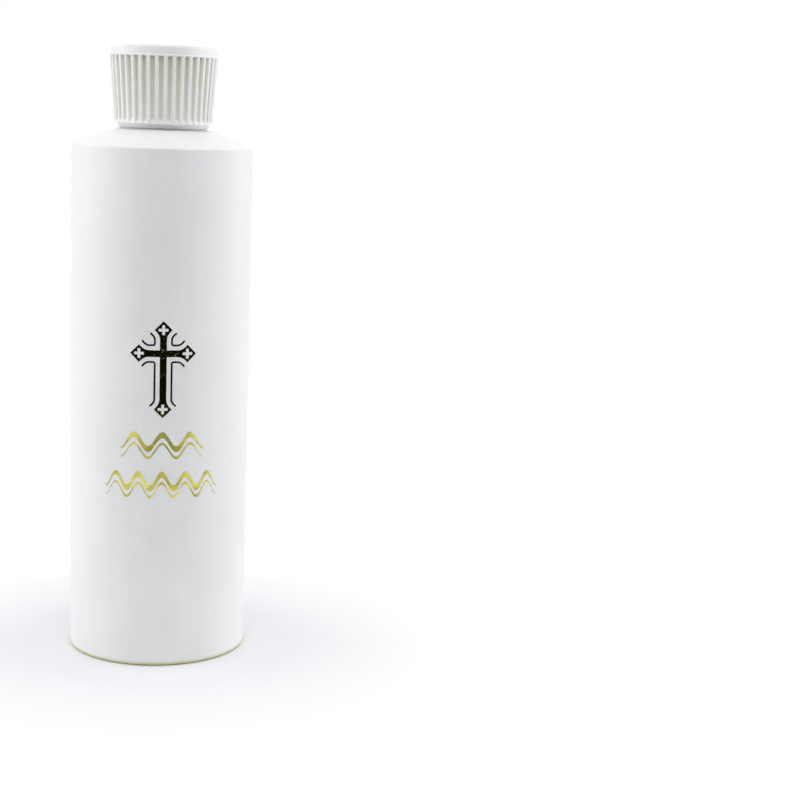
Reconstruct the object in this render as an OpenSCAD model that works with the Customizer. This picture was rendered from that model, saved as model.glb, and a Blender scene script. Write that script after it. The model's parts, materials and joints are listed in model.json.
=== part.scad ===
// Round squeeze bottle with a ribbed screw cap, a fold-away spout and a stamped foil print.
// Z is up and the bottle stands on z = 0. The print faces -Y and the folded spout points to +Y.

/* [Bottle] */
// Outside diameter of the straight wall
bottle_d = 50.8; // [42:0.1:62]
// Height of the straight wall
body_h = 144.7; // [110:0.1:190]
// Wall thickness of the body and shoulder
wall_t = 1; // [0.6:0.1:1.6]
// Fall of the shoulder from the neck to the edge, in degrees
shoulder_slope = 19; // [8:1:35]
// Radius of the heel and of the shoulder edge
edge_r = 1.2; // [0.6:0.1:2.5]
// Height of the hollow under the base
pushup_h = 2; // [0.8:0.1:4]
// Width of the flat ring that the bottle stands on
foot_w = 2.7; // [1.5:0.1:5]

/* [Neck] */
// Diameter over the neck's thread
thread_d = 23.6; // [19:0.1:29]
// Height of the thread above the neck wall
thread_depth = 1.05; // [0.7:0.05:1.2]
// Rise of the thread in one turn
thread_pitch = 3.175; // [3:0.005:3.8]
// Turns of the thread
thread_turns = 1.5; // [1:0.25:1.75]
// Height of the neck above the shoulder
neck_h = 15.6; // [13:0.1:20]
// Wall thickness of the neck
neck_wall = 2.05; // [1.4:0.05:2.6]
// Height of the collar at the foot of the neck
collar_h = 0.8; // [0.4:0.1:1]

/* [Cap] */
// Wall thickness behind the ribs at the cap's lower edge
cap_wall = 1; // [0.8:0.05:1.8]
// Widening of the cap towards its top, in degrees
cap_taper = 4.4; // [2:0.1:7]
// Grooves between the ribs
groove_count = 36; // [26:2:44]
// Width of each groove
groove_w = 1.3; // [0.8:0.05:1.5]
// Depth of the grooves at their lower ends
rib_depth = 0.5; // [0.3:0.05:0.7]
// Depth of the grooves at their upper ends
rib_depth_top = 1.2; // [0.5:0.05:1.3]
// Height of the smooth rim above the ribs
rim_h = 3.1; // [2.4:0.1:3.6]
// Radius of the rim's top edge
rim_r = 0.9; // [0.6:0.1:1.6]
// Width of the ring groove in the cap's top
ring_w = 1; // [0.6:0.1:1.4]
// Depth of the ring groove
ring_depth = 0.8; // [0.3:0.1:1]
// Thickness of the cap's ceiling
ceiling_t = 1.7; // [1.2:0.1:2.4]
// Thickness of the sealing washer
liner_t = 1; // [0.6:0.1:1.6]

/* [Spout] */
// Width of the spout at its root
spout_w = 6.8; // [5.5:0.1:8]
// Width of the spout at its tip
tip_w = 6.3; // [4.5:0.1:7]
// Thickness of the spout
spout_t = 4.3; // [3.8:0.1:5]
// Diameter of the passage through the spout
outlet_d = 2.8; // [1.5:0.1:3]
// Diameter of the spout's round root
hub_d = 6.4; // [5.8:0.1:7]
// Diameter of the spout's pivots
pivot_d = 2.6; // [1.6:0.1:3]
// Length of each pivot
pivot_l = 1.2; // [0.8:0.1:1.6]

/* [Print] */
// Height of the cross
cross_h = 27; // [20:0.1:32]
// Width of the cross
cross_w = 18.3; // [15:0.1:22]
// Width of the cross's stem and arms
stem_w = 1.85; // [1.2:0.05:2.4]
// Height of the cross's crossing above the floor
cross_z = 89.65; // [60:0.05:95]
// Half width of the lozenge at each end of the cross
lozenge_r = 2.22; // [2:0.02:2.6]
// Length over which the stem widens into a lozenge
flare = 2.9; // [1.6:0.1:3.2]
// Width of the contour strokes around the cross
contour_w = 0.42; // [0.3:0.02:0.6]
// Distance from the cross to the middle of the contour strokes
contour_gap = 1.4; // [1:0.05:1.8]
// Height of the upper pair of waves above the floor
upper_wave_z = 63.6; // [50:0.1:65]
// Width of the upper pair of waves
upper_wave_w = 23.6; // [16:0.1:28]
// Height of the lower pair of waves above the floor
lower_wave_z = 52.4; // [20:0.1:54]
// Width of the lower pair of waves
lower_wave_w = 33; // [20:0.1:40]
// Rise of the waves above and below their middle
wave_amp = 2; // [1:0.1:2.4]
// Height of the bold wave's stroke
wave_t = 1.7; // [1:0.1:2.2]
// Height of the fine wave's stroke
fine_wave_t = 0.75; // [0.4:0.05:1.2]
// Thickness of the foil
foil_t = 0.12; // [0.08:0.01:0.3]

/* [Hidden] */
$fn = 96;

// Bottle
bottle_r = bottle_d / 2;
inner_r = bottle_r - wall_t;
foot_r = bottle_r - edge_r;
foot_in_r = foot_r - foot_w;
pushup_run = 2.5;
base_extra = 0.2;
base_t = wall_t + base_extra;
inner_heel = 1;
inner_edge = 0.4;
root_r = thread_d / 2 - thread_depth;
mouth_r = root_r - neck_wall;
collar_step = 0.2;
collar_r = thread_d / 2 + collar_step;
collar_c = 0.25;
edge_top = [bottle_r - edge_r + edge_r * sin(shoulder_slope), body_h + edge_r * cos(shoulder_slope)];
neck_z = edge_top[1] + (edge_top[0] - collar_r) * tan(shoulder_slope);
lip_z = neck_z + neck_h;
lip_c = 0.4;
shoulder_drop = wall_t / cos(shoulder_slope);

// Neck thread
thread_from_lip = 2;
neck_thread_z = lip_z - thread_from_lip - thread_pitch * thread_turns;
neck_half_root = 1;
neck_half_crest = 0.45;
embed = 0.3;
sink = 0.1;
thread_step = 12;
thread_fade = 48;

// Cap, from the floor of the spout's slot outwards
thread_gap = 0.45;
cap_gap = 0.35;
cap_z = neck_z + cap_gap;
cavity_r = thread_d / 2 + thread_gap;
cap_low_r = cavity_r + cap_wall + rib_depth;
cap_edge = 0.25;
ceiling_z = lip_z + liner_t;
slot_z = ceiling_z + ceiling_t;
spout_gap = 0.15;
spout_sunk = 0.25;
hinge_z = slot_z + spout_gap + spout_t / 2;
top_z = hinge_z + spout_t / 2 + spout_sunk;
rib_top_z = top_z - rim_h;
hem_t = 0.5;
hem_c = 0.15;
hem_h = 1.05;
hem_z = cap_z + hem_h;
hem_land = 0.5;
rib_low_z = hem_z + hem_land;
rim_lead = 0.3;
rim_step = 0.25;
rim_low_z = rib_top_z + rim_lead;
cap_top_r = cap_low_r + (rim_low_z - hem_z) * tan(cap_taper);
rim_side_r = cap_top_r - rim_step;
rim_flat = 2.4;
ring_r = cap_top_r - rim_flat - ring_w / 2;

// Spout's slot and seat, with a plain strip of the cap's side below the slot
slot_w = spout_w + 2 * spout_gap;
seat_gap = 0.1;
seat_r = hub_d / 2 + seat_gap;
slot_back = seat_r + spout_gap;
pivot_span = slot_w + 2 * pivot_l;
pivot_gap = 0.06;
pivot_end_gap = 0.1;
boss_gap = 3.4;
boss_r = mouth_r - boss_gap;
boss_h = 1.8;
boss_z = ceiling_z - boss_h;
scoop_margin = 0.45;
scoop_r = slot_w / 2 + scoop_margin;
scoop_depth = 2.3;
scoop_y = cap_top_r + scoop_r - scoop_depth;
plain_margin = 0.2;
cap_mid_r = (cap_low_r + cap_top_r) / 2;
plain_deg = 2 * asin((slot_w + groove_w + 2 * plain_margin) / 2 / cap_mid_r);
groove_deg = (360 - plain_deg) / (groove_count - 1);

// Cap thread: in the gap under the neck thread, nearer to the flank that it pulls on
crest_gap = 0.4;
flank_shift = 0.25;
cap_thread_crest_r = root_r + crest_gap;
cap_half_root = 0.75;
cap_half_crest = 0.3;
cap_thread_start = 120;
cap_thread_turns = thread_turns - cap_thread_start / 360;
cap_thread_z = neck_thread_z + thread_pitch * (cap_thread_start / 360 - 1 / 2) + flank_shift;

// Spout
tip_inset = 0.9;
spout_l = cap_top_r - tip_inset;
tip_c = 0.5;

// Washer
liner_gap = 0.6;
liner_in_r = boss_r + liner_gap;
liner_out_r = cavity_r - liner_gap;

// Print
cross_up = cross_h / 3;
cross_down = cross_h - cross_up;
cross_side = cross_w / 2;
stem_half = stem_w / 2;
flare_pull = 0.45;
pierce_r = 1;
pierce_lobe = 0.47;
pierce_w = 0.85;
contour_bend = 0.6;
contour_tail = 0.5;
upper_waves = 3;
lower_waves = 5;
wave_drop = 2.5;
wave_steps = 20;
wave_end = 0.2;

function arc(centre, r, from, to, n = 6) =
    [for (i = [0 : n]) let (a = from + (to - from) * i / n) centre + r * [cos(a), sin(a)]];

function bezier(a, b, c, n = 6) =
    [for (i = [0 : n]) let (t = i / n) (1 - t) * (1 - t) * a + 2 * t * (1 - t) * b + t * t * c];

function turned(pts, a) = [for (p = pts) [p[0] * cos(a) - p[1] * sin(a), p[0] * sin(a) + p[1] * cos(a)]];

function mirrored(pts) = [for (p = pts) [-p[0], p[1]]];

function reversed(pts) = [for (i = [len(pts) - 1 : -1 : 0]) pts[i]];

// Distance along the bottle's round wall to distance seen from the front
function across(s) = bottle_r * sin(s / bottle_r * 180 / PI);

function wrapped(pts) = [for (p = pts) [across(p[0]), p[1]]];

function side_of(path, i) =
    let (d = path[min(i + 1, len(path) - 1)] - path[max(i - 1, 0)]) [-d[1], d[0]] / norm(d);

function ribbon(path, w) = concat(
    [for (i = [0 : len(path) - 1]) path[i] + side_of(path, i) * w / 2],
    [for (i = [len(path) - 1 : -1 : 0]) path[i] - side_of(path, i) * w / 2]);

// Helical ridge between radii r_in and r_out, whose crest sinks to r_hide at both ends
module thread_ridge(r_in, r_out, half_in, half_out, r_hide, outside, z0, start, turns) {
    steps = ceil(turns * 360 / thread_step);
    points = [
        for (i = [0 : steps])
            let (turn = turns * 360 * i / steps,
                 rise = min(1, turn / thread_fade, (turns * 360 - turn) / thread_fade),
                 inner = outside ? r_in : r_hide + (r_in - r_hide) * rise,
                 outer = outside ? r_hide + (r_out - r_hide) * rise : r_out,
                 z = z0 + thread_pitch * turn / 360)
            for (p = [[inner, -half_in], [outer, -half_out], [outer, half_out], [inner, half_in]])
                [p[0] * cos(start + turn), p[0] * sin(start + turn), z + p[1]]
    ];
    sides = [
        for (i = [0 : steps - 1])
            for (j = [0 : 3])
                let (a = 4 * i + j, b = 4 * i + (j + 1) % 4)
                for (face = [[a, b, b + 4], [a, b + 4, a + 4]])
                    face
    ];
    end = 4 * steps;
    polyhedron(points, concat([[3, 2, 1, 0]], sides, [[end, end + 1, end + 2, end + 3]]));
}

module bottle_wall() {
    outside = concat(
        [[0, pushup_h], [foot_in_r - pushup_run, pushup_h], [foot_in_r, 0]],
        arc([foot_r, edge_r], edge_r, -90, 0),
        arc([bottle_r - edge_r, body_h], edge_r, 0, 90 - shoulder_slope),
        [[collar_r, neck_z], [collar_r, neck_z + collar_h], [root_r, neck_z + collar_h + collar_c],
         [root_r, lip_z - lip_c], [root_r - lip_c, lip_z]]);
    cone_z = neck_z - shoulder_drop + (collar_r - mouth_r) * tan(shoulder_slope);
    edge_z = neck_z - shoulder_drop - (inner_r - inner_edge - collar_r) * tan(shoulder_slope);
    inside = [
        [mouth_r, lip_z], [mouth_r, cone_z], [inner_r - inner_edge, edge_z], [inner_r, edge_z - inner_edge],
        [inner_r, base_t + inner_heel], [inner_r - inner_heel, base_t], [foot_in_r, base_t],
        [foot_in_r - pushup_run, pushup_h + base_t], [0, pushup_h + base_t]];
    rotate_extrude()
        polygon(concat(outside, inside));
}

module bottle_body() {
    color("white")
    union() {
        bottle_wall();
        thread_ridge(root_r - embed, thread_d / 2, neck_half_root + embed / 2, neck_half_crest,
                     root_r - sink, true, neck_thread_z, 0, thread_turns);
    }
}

module cap_blank() {
    ring = [
        [ring_r + ring_w / 2, top_z], [ring_r + ring_w / 4, top_z - ring_depth],
        [ring_r - ring_w / 4, top_z - ring_depth], [ring_r - ring_w / 2, top_z]];
    rotate_extrude()
        polygon(concat(
            [[0, boss_z], [boss_r, boss_z], [boss_r, ceiling_z], [cavity_r, ceiling_z],
             [cavity_r, cap_z + cap_edge], [cavity_r + cap_edge, cap_z], [cavity_r + hem_t, cap_z],
             [cavity_r + hem_t, hem_z], [cap_low_r - hem_c, hem_z], [cap_low_r, hem_z + hem_c],
             [cap_top_r, rim_low_z], [rim_side_r, rim_low_z + rim_step]],
            arc([rim_side_r - rim_r, top_z - rim_r], rim_r, 0, 90),
            ring,
            [[0, top_z]]));
}

module cap_grooves() {
    low_r = cap_low_r + (rib_low_z - hem_z) * tan(cap_taper) - rib_depth;
    high_r = cap_top_r - rib_depth_top;
    for (i = [0 : groove_count - 1])
        rotate([90, 0, 90 + plain_deg / 2 + groove_deg * i])
            translate([0, 0, -groove_w / 2])
                linear_extrude(groove_w)
                    polygon([[low_r, rib_low_z], [cap_top_r + 1, rib_low_z],
                             [cap_top_r + 1, rib_top_z], [high_r, rib_top_z]]);
}

// Slot for the folded spout, the round seat of its root and the holes for its pivots
module spout_pocket() {
    reach = cap_top_r + 2;
    translate([-slot_w / 2, 0, slot_z])
        cube([slot_w, reach, top_z - slot_z + 1]);
    translate([-slot_w / 2, -slot_back, hinge_z])
        cube([slot_w, reach, top_z - hinge_z + 1]);
    translate([0, 0, hinge_z])
        rotate([0, 90, 0]) {
            cylinder(r = seat_r, h = slot_w, center = true);
            cylinder(r = pivot_d / 2 + pivot_gap, h = pivot_span + 2 * pivot_end_gap, center = true);
        }
    translate([0, 0, boss_z - 1])
        cylinder(d = outlet_d, h = hinge_z - boss_z);
    translate([0, scoop_y, slot_z])
        sphere(r = scoop_r);
}

module cap_shell() {
    color("white")
    union() {
        difference() {
            cap_blank();
            cap_grooves();
            spout_pocket();
        }
        thread_ridge(cap_thread_crest_r, cavity_r + embed, cap_half_crest, cap_half_root + embed / 2,
                     cavity_r + sink, false, cap_thread_z, cap_thread_start, cap_thread_turns);
    }
}

// Spout bar with a taper towards its tip, lying along +Y from its hinge axis
module spout_bar() {
    intersection() {
        translate([-spout_w / 2, 0, 0])
            rotate([90, 0, 90])
                linear_extrude(spout_w)
                    polygon([[0, -spout_t / 2], [spout_l - tip_c, -spout_t / 2],
                             [spout_l, tip_c - spout_t / 2], [spout_l, spout_t / 2 - tip_c],
                             [spout_l - tip_c, spout_t / 2], [0, spout_t / 2]]);
        translate([0, 0, -spout_t])
            linear_extrude(2 * spout_t)
                polygon([[-spout_w / 2, 0], [-spout_w / 2, hub_d / 2], [-tip_w / 2, spout_l],
                         [tip_w / 2, spout_l], [spout_w / 2, hub_d / 2], [spout_w / 2, 0]]);
    }
}

module spout_root() {
    intersection() {
        rotate([0, 90, 0])
            cylinder(d = hub_d, h = spout_w, center = true);
        translate([-spout_w, -hub_d, -hub_d])
            cube([2 * spout_w, 2 * hub_d, hub_d + spout_t / 2]);
    }
    rotate([0, 90, 0])
        cylinder(d = pivot_d, h = pivot_span, center = true);
}

module flip_spout() {
    color("white")
    translate([0, 0, hinge_z])
        difference() {
            union() {
                spout_bar();
                spout_root();
            }
            translate([0, -hub_d, 0])
                rotate([-90, 0, 0])
                    cylinder(d = outlet_d, h = hub_d + spout_l + 1);
        }
}

module cap_liner() {
    color("whitesmoke")
    translate([0, 0, lip_z])
        difference() {
            cylinder(r = liner_out_r, h = liner_t);
            translate([0, 0, -1])
                cylinder(r = liner_in_r, h = liner_t + 2);
        }
}

// Thin layer of foil on the front of the bottle, cut to a flat outline drawn at height z
module foil_layer(z) {
    color("gold")
    intersection() {
        translate([0, 0, z])
            rotate([90, 0, 0])
                linear_extrude(bottle_d)
                    children();
        difference() {
            cylinder(r = bottle_r + foil_t, h = body_h);
            translate([0, 0, -1])
                cylinder(r = bottle_r, h = body_h + 2);
        }
    }
}

// Right side of an arm of length l, from the stem out to the lozenge's corner
function arm_side(l) =
    let (wide = l - lozenge_r)
    bezier([stem_half, wide - flare], [stem_half, wide - flare * flare_pull], [lozenge_r, wide]);

// One arm of the cross, from its right inner corner over the tip to its left flare
function cross_arm(l) =
    let (side = arm_side(l))
    concat([[stem_half, stem_half]], side, [[0, l]], reversed(mirrored(side)));

module pierced_cross() {
    for (a = [0, 90])
        rotate(a)
            square([2 * pierce_r, pierce_w], center = true);
    for (a = [0 : 90 : 270])
        rotate(a)
            translate([pierce_r, 0])
                circle(r = pierce_lobe);
}

module foil_cross() {
    arms = [cross_up, cross_side, cross_down, cross_side];
    foil_layer(cross_z)
        difference() {
            polygon(wrapped([for (i = [0 : 3]) for (p = turned(cross_arm(arms[i]), 90 * i)) p]));
            for (i = [0 : 3])
                translate(wrapped(turned([[0, arms[i] - lozenge_r]], 90 * i))[0])
                    pierced_cross();
        }
}

// Line beside an arm at contour_gap, with a straight tail past the lozenge's corner
function arm_contour(l) =
    let (side = arm_side(l),
         line = [for (i = [0 : len(side) - 1]) side[i] - side_of(side, i) * contour_gap],
         n = len(line),
         tail = (line[n - 1] - line[n - 2]) / norm(line[n - 1] - line[n - 2]))
    concat(line, [line[n - 1] + contour_tail * tail]);

// Stroke in the corner between an arm of length up and an arm of length side
function corner_contour(up, side) =
    let (g = stem_half + contour_gap)
    concat(
        reversed(arm_contour(up)),
        bezier([g, g + contour_bend], [g, g], [g + contour_bend, g]),
        [for (p = arm_contour(side)) [p[1], p[0]]]);

module foil_contour() {
    upper = corner_contour(cross_up, cross_side);
    lower = [for (p = corner_contour(cross_down, cross_side)) [p[0], -p[1]]];
    foil_layer(cross_z)
        for (path = [upper, lower]) {
            polygon(wrapped(ribbon(path, contour_w)));
            polygon(wrapped(ribbon(mirrored(path), contour_w)));
        }
}

// Wavy band whose stroke thins towards both ends
function wave_band(w, waves, t, drop) =
    let (n = waves * wave_steps,
         line = [
             for (i = [0 : n])
                 let (s = w * (i / n - 0.5),
                      end = min(1, 4 * (0.5 - abs(s) / w)),
                      half = t / 2 * (wave_end + (1 - wave_end) * sin(90 * end)))
                 [s, wave_amp * cos(360 * waves * s / w) - drop, half]
         ])
    concat([for (p = line) [p[0], p[1] + p[2]]], reversed([for (p = line) [p[0], p[1] - p[2]]]));

module wave_pair(z, w, waves) {
    foil_layer(z) {
        polygon(wrapped(wave_band(w, waves, wave_t, -wave_drop / 2)));
        polygon(wrapped(wave_band(w, waves, fine_wave_t, wave_drop / 2)));
    }
}

module foil_wave_upper() {
    wave_pair(upper_wave_z, upper_wave_w, upper_waves);
}

module foil_wave_lower() {
    wave_pair(lower_wave_z, lower_wave_w, lower_waves);
}

bottle_body();
cap_shell();
flip_spout();
cap_liner();
foil_cross();
foil_contour();
foil_wave_upper();
foil_wave_lower();
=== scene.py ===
import json
import math

import bmesh
import bpy
from mathutils import Euler, Matrix, Vector
from mathutils.geometry import interpolate_bezier


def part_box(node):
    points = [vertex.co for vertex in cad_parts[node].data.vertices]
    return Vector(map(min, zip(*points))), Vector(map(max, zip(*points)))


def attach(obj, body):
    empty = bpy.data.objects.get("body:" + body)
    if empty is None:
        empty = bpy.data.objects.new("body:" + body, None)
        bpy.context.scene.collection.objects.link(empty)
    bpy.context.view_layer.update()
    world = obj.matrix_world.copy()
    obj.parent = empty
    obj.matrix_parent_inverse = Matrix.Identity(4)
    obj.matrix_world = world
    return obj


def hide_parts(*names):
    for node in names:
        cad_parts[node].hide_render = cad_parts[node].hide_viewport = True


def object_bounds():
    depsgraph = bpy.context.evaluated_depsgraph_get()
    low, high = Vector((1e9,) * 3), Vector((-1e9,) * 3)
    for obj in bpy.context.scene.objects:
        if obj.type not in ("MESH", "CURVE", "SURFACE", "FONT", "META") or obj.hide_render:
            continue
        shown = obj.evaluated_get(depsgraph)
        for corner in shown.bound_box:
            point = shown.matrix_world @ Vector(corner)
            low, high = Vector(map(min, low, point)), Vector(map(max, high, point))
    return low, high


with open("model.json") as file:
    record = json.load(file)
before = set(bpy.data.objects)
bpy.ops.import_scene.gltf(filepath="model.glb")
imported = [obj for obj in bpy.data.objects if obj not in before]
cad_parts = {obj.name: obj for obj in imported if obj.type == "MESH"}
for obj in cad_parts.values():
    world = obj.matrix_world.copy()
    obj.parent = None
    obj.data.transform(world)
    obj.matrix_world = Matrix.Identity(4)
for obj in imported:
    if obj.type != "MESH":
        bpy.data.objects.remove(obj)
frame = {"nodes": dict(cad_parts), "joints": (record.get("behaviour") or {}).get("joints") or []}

mm = 0.001
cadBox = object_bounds()
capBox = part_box("cap_shell")
hingeHeight = [j for j in frame["joints"] if j["name"] == "spout_flip"][0]["pos_m"][2]
planeGap = 0.0001 * mm  # points this near a plane lie on it
mergeGap = 0.0005 * mm
sliver = 0.002 * mm
touchGap = 0.01 * mm
nearGap = 0.1 * mm
downward = -0.5  # a normal whose z is below this looks down
fullTurn = 2 * math.pi
sharpAngle = math.radians(35)
squareAngle = math.radians(60)
noiseLow, noiseHigh = 0.3, 0.7  # most of a noise lies between these
rampLow, rampHigh = 0.35, 0.65
print("frame loaded, CAD box", [round(side / mm, 2) for side in cadBox[1] - cadBox[0]], "mm")


def wire(bm, corners, segments):  # corners are (x, z, rounding), and each rounding becomes an arc
    points = [Vector((x, 0, z)) for x, z, rounding in corners]
    verts = [bm.verts.new(point) for point in points]
    for pair in zip(verts, verts[1:]):
        bm.edges.new(pair)
    for i, (x, z, rounding) in enumerate(corners):
        if rounding:
            turn = (points[i] - points[i - 1]).angle(points[i + 1] - points[i])
            setback = rounding * math.tan(turn / 2)
            bmesh.ops.bevel(bm, geom=[verts[i]], offset=setback, offset_type="OFFSET", segments=segments,
                            profile=0.5, affect="VERTICES", material=-1)


def roundEdges(bm, edges, rounding, segments):
    bmesh.ops.bevel(bm, geom=edges, offset=rounding, offset_type="OFFSET", segments=segments,
                    profile=0.5, affect="EDGES", material=-1)


def squareEdges(bm):
    return [edge for edge in bm.edges if edge.calc_face_angle() > squareAngle]


def closeUp(bm):
    bmesh.ops.remove_doubles(bm, verts=bm.verts[:], dist=mergeGap)
    bmesh.ops.recalc_face_normals(bm, faces=bm.faces[:])


def cutAcross(bm, place, normal, gap, clear=False):
    bmesh.ops.bisect_plane(bm, geom=bm.verts[:] + bm.edges[:] + bm.faces[:], dist=gap,
                           plane_co=place, plane_no=normal, clear_outer=clear)


def spinAround(bm, geom, angle, steps, merge=False):
    return bmesh.ops.spin(bm, geom=geom, cent=(0, 0, 0), axis=(0, 0, 1), angle=angle, steps=steps,
                          use_merge=merge)["geom_last"]


def addThread(bm, thread):  # a ridge spun along a helix, that sinks into its wall at both ends
    inner, outer = thread["innerRadius"], thread["outerRadius"]
    halfInner, halfOuter = thread["halfInner"], thread["halfOuter"]
    low, high = thread["startHeight"], thread["startHeight"] + thread["turns"] * thread["pitch"]
    section = [bm.verts.new((r, 0, low + h)) for r, h in (
        (inner, -halfInner), (outer, -halfOuter), (outer, halfOuter), (inner, halfInner))]
    face = bm.faces.new(section)
    startTurn = Matrix.Rotation(math.radians(thread["startAngle"]), 3, "Z")
    bmesh.ops.rotate(bm, verts=section, cent=(0, 0, 0), matrix=startTurn)
    before = set(bm.verts) - set(section)
    bmesh.ops.spin(bm, geom=[face], cent=(0, 0, 0), axis=(0, 0, 1), angle=thread["turns"] * fullTurn,
                   steps=int(thread["turns"] * thread["stepsPerTurn"]),
                   dvec=(0, 0, thread["pitch"] / thread["stepsPerTurn"]))
    for vert in set(bm.verts) - before:
        radius = vert.co.xy.length
        fromStart = (vert.co.z + halfInner - low) / thread["fadeHeight"]
        fromEnd = (high + halfInner - vert.co.z) / thread["fadeHeight"]
        rise = min(1, max(0, fromStart), max(0, fromEnd))
        if abs(radius - thread["crestRadius"]) < touchGap:
            wanted = thread["hideRadius"] + (radius - thread["hideRadius"]) * rise
            vert.co.xy *= wanted / radius


def tempObject(bm):
    mesh = bpy.data.meshes.new("temp")
    bm.to_mesh(mesh)
    bm.free()
    obj = bpy.data.objects.new("temp", mesh)
    bpy.context.scene.collection.objects.link(obj)
    return obj


def carved(bm, steps):  # steps are (operation, closed bmesh), applied in order
    base = tempObject(bm)
    tools = []
    for operation, tool in steps:
        tools.append(tempObject(tool))
        modifier = base.modifiers.new("carve", "BOOLEAN")
        modifier.operation = operation
        modifier.object = tools[-1]
        modifier.solver = "MANIFOLD"
    result = bmesh.new()
    result.from_object(base, bpy.context.evaluated_depsgraph_get())
    for obj in [base, *tools]:
        mesh = obj.data
        bpy.data.objects.remove(obj)
        bpy.data.meshes.remove(mesh)
    return result


def rod(radius, length, centre, axis, segments):
    bm = bmesh.new()
    turn = Vector((0, 0, 1)).rotation_difference(Vector(axis)).to_matrix().to_4x4()
    bmesh.ops.create_cone(bm, cap_ends=True, segments=segments, radius1=radius, radius2=radius,
                          depth=length, matrix=Matrix.Translation(centre) @ turn)
    return bm


def block(low, high):
    bm = bmesh.new()
    low, high = Vector(low), Vector(high)
    size = Matrix.Diagonal((*(high - low), 1))
    bmesh.ops.create_cube(bm, size=1, matrix=Matrix.Translation((low + high) / 2) @ size)
    return bm


def addPiece(name, bm, material, body, node):
    for face in bm.faces:
        face.smooth = True
    mesh = bpy.data.meshes.new(name)
    bm.to_mesh(mesh)
    bm.free()
    mesh.set_sharp_from_angle(angle=sharpAngle)
    mesh.materials.append(material)
    piece = bpy.data.objects.new(name, mesh)
    bpy.context.scene.collection.objects.link(piece)
    evenShading = piece.modifiers.new("evenShading", "WEIGHTED_NORMAL")
    evenShading.keep_sharp = True
    evenShading.weight = 100
    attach(piece, body)
    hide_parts(node)
    print(name, "made,", len(mesh.polygons), "faces")


def newMaterial(name):
    material = bpy.data.materials.new(name)
    material.use_nodes = True
    return material, material.node_tree, material.node_tree.nodes["Principled BSDF"]


def objectPoint(tree, scale=(1, 1, 1), turn=(0, 0, 0)):
    coords = tree.nodes.new("ShaderNodeTexCoord")
    mapping = tree.nodes.new("ShaderNodeMapping")
    mapping.inputs["Scale"].default_value = scale
    mapping.inputs["Rotation"].default_value = turn
    tree.links.new(coords.outputs["Object"], mapping.inputs["Vector"])
    return mapping.outputs["Vector"]


def pointAlong(tree, axis):
    split = tree.nodes.new("ShaderNodeSeparateXYZ")
    tree.links.new(objectPoint(tree), split.inputs["Vector"])
    return split.outputs[axis]


def vectorLength(tree, vector):
    node = tree.nodes.new("ShaderNodeVectorMath")
    node.operation = "LENGTH"
    tree.links.new(vector, node.inputs[0])
    return node.outputs["Value"]


def cellDistance(tree, point, scale):
    node = tree.nodes.new("ShaderNodeTexVoronoi")
    node.inputs["Scale"].default_value = scale
    tree.links.new(point, node.inputs["Vector"])
    return node.outputs["Distance"]


def noise(tree, point, scale, detail=2):
    node = tree.nodes.new("ShaderNodeTexNoise")
    node.inputs["Scale"].default_value = scale
    node.inputs["Detail"].default_value = detail
    tree.links.new(point, node.inputs["Vector"])
    return node.outputs["Fac"]


def colourRamp(tree, factor, stops):
    ramp = tree.nodes.new("ShaderNodeValToRGB")
    for element, (position, colour) in zip(ramp.color_ramp.elements, stops):
        element.position = position
        element.color = (*colour, 1)
    tree.links.new(factor, ramp.inputs["Fac"])
    return ramp.outputs["Color"]


def remap(tree, value, fromLow, fromHigh, toLow, toHigh):
    node = tree.nodes.new("ShaderNodeMapRange")
    node.inputs["From Min"].default_value = fromLow
    node.inputs["From Max"].default_value = fromHigh
    node.inputs["To Min"].default_value = toLow
    node.inputs["To Max"].default_value = toHigh
    tree.links.new(value, node.inputs["Value"])
    return node.outputs["Result"]


def mathNode(tree, operation, first, second=0):
    node = tree.nodes.new("ShaderNodeMath")
    node.operation = operation
    for socket, value in zip(node.inputs, (first, second)):
        if isinstance(value, (int, float)):
            socket.default_value = value
        else:
            tree.links.new(value, socket)
    return node.outputs["Value"]


def weighted(tree, first, firstShare, second, secondShare):
    return mathNode(tree, "ADD", mathNode(tree, "MULTIPLY", first, firstShare),
                    mathNode(tree, "MULTIPLY", second, secondShare))


def hairline(tree, pattern, width):  # 1 along the line where a noise passes its middle
    away = mathNode(tree, "ABSOLUTE", mathNode(tree, "SUBTRACT", pattern, 0.5))
    return remap(tree, away, 0, width, 1, 0)


def mixColour(tree, factor, first, second):
    node = tree.nodes.new("ShaderNodeMix")
    node.data_type = "RGBA"
    tree.links.new(factor, node.inputs["Factor"])
    tree.links.new(first, node.inputs[6])
    node.inputs[7].default_value = (*second, 1)
    return node.outputs[2]


def bump(tree, pattern, distance, normal=None):
    node = tree.nodes.new("ShaderNodeBump")
    node.inputs["Distance"].default_value = distance
    tree.links.new(pattern, node.inputs["Height"])
    if normal is not None:
        tree.links.new(normal, node.inputs["Normal"])
    return node.outputs["Normal"]


def setGlow(shader, look):  # light that sinks a little way into the plastic
    shader.inputs["Subsurface Weight"].default_value = look["glow"]
    shader.inputs["Subsurface Radius"].default_value = look["glowSpread"]
    shader.inputs["Subsurface Scale"].default_value = look["glowDepth"]
    shader.inputs["IOR"].default_value = look["ior"]


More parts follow.
